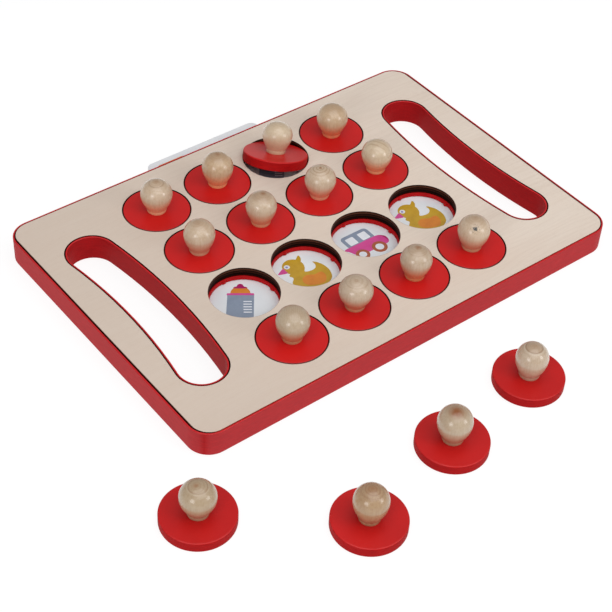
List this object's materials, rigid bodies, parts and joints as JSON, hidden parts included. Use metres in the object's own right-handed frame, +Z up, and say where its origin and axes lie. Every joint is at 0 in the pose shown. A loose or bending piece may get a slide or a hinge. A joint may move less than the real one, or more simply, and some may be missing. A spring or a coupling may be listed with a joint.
{
  "type": "memory board game",
  "caption": "Shallow wooden memory board with round picture wells, knobbed cover discs that lift out, curved hand slots and a picture card that slides out at the back.",
  "frame": {"origin": "centre of the board's underside, on the table plane", "axes": "+X along the board's long side towards column 4, +Y to the back edge where the picture card slides out, +Z up"},
  "size_m": [0.3743, 0.345, 0.0428],
  "materials": {
    "red_board": "semi-gloss red lacquer",
    "red_disc": "semi-gloss red lacquer",
    "plywood": "clear matt lacquer, laser-burnt edges",
    "turned_wood": "clear gloss lacquer",
    "printed_card": "satin laminate with printed pictures"
  },
  "bodies": {
    "board": {"base_board": "red_board", "tray_body": "red_board", "top_plate": "plywood"},
    "card": {"picture_card": "printed_card"},
    "peg_a1": {"disc_a1": "red_disc", "knob_a1": "turned_wood"},
    "peg_a2": {"disc_a2": "red_disc", "knob_a2": "turned_wood"},
    "peg_a3": {"disc_a3": "red_disc", "knob_a3": "turned_wood"},
    "peg_a4": {"disc_a4": "red_disc", "knob_a4": "turned_wood"},
    "peg_b1": {"disc_b1": "red_disc", "knob_b1": "turned_wood"},
    "peg_b2": {"disc_b2": "red_disc", "knob_b2": "turned_wood"},
    "peg_b3": {"disc_b3": "red_disc", "knob_b3": "turned_wood"},
    "peg_b4": {"disc_b4": "red_disc", "knob_b4": "turned_wood"},
    "peg_c1": {"disc_c1": "red_disc", "knob_c1": "turned_wood"},
    "peg_c2": {"disc_c2": "red_disc", "knob_c2": "turned_wood"},
    "peg_c3": {"disc_c3": "red_disc", "knob_c3": "turned_wood"},
    "peg_c4": {"disc_c4": "red_disc", "knob_c4": "turned_wood"},
    "peg_d1": {"disc_d1": "red_disc", "knob_d1": "turned_wood"},
    "peg_d2": {"disc_d2": "red_disc", "knob_d2": "turned_wood"},
    "peg_d3": {"disc_d3": "red_disc", "knob_d3": "turned_wood"},
    "peg_d4": {"disc_d4": "red_disc", "knob_d4": "turned_wood"}
  },
  "joints": [
    {"name": "card_slide", "type": "slide", "parent": "board", "child": "card", "axis": [0, 1, 0], "range_m": [0, 0.215]},
    {"name": "lift_a1", "type": "slide", "parent": "board", "child": "peg_a1", "axis": [0, 0, 1], "range_m": [0, 0.04]},
    {"name": "lift_a2", "type": "slide", "parent": "board", "child": "peg_a2", "axis": [0, 0, 1], "range_m": [0, 0.04]},
    {"name": "lift_a3", "type": "slide", "parent": "board", "child": "peg_a3", "axis": [0, 0, 1], "range_m": [0, 0.04]},
    {"name": "lift_a4", "type": "slide", "parent": "board", "child": "peg_a4", "axis": [0, 0, 1], "range_m": [0, 0.04]},
    {"name": "lift_b1", "type": "slide", "parent": "board", "child": "peg_b1", "axis": [0, 0, 1], "range_m": [0, 0.04]},
    {"name": "lift_b2", "type": "slide", "parent": "board", "child": "peg_b2", "axis": [0, 0, 1], "range_m": [0, 0.04]},
    {"name": "lift_b3", "type": "slide", "parent": "board", "child": "peg_b3", "axis": [0, 0, 1], "range_m": [0, 0.04]},
    {"name": "lift_b4", "type": "slide", "parent": "board", "child": "peg_b4", "axis": [0, 0, 1], "range_m": [0, 0.04]},
    {"name": "lift_c1", "type": "slide", "parent": "board", "child": "peg_c1", "axis": [0, 0, 1], "range_m": [0, 0.04]},
    {"name": "lift_c2", "type": "slide", "parent": "board", "child": "peg_c2", "axis": [0, 0, 1], "range_m": [0, 0.04]},
    {"name": "lift_c3", "type": "slide", "parent": "board", "child": "peg_c3", "axis": [0, 0, 1], "range_m": [0, 0.04]},
    {"name": "lift_c4", "type": "slide", "parent": "board", "child": "peg_c4", "axis": [0, 0, 1], "range_m": [0, 0.04]},
    {"name": "lift_d1", "type": "slide", "parent": "board", "child": "peg_d1", "axis": [0, 0, 1], "range_m": [0, 0.04]},
    {"name": "lift_d2", "type": "slide", "parent": "board", "child": "peg_d2", "axis": [0, 0, 1], "range_m": [0, 0.04]},
    {"name": "lift_d3", "type": "slide", "parent": "board", "child": "peg_d3", "axis": [0, 0, 1], "range_m": [0, 0.04]},
    {"name": "lift_d4", "type": "slide", "parent": "board", "child": "peg_d4", "axis": [0, 0, 1], "range_m": [0, 0.04]}
  ]
}
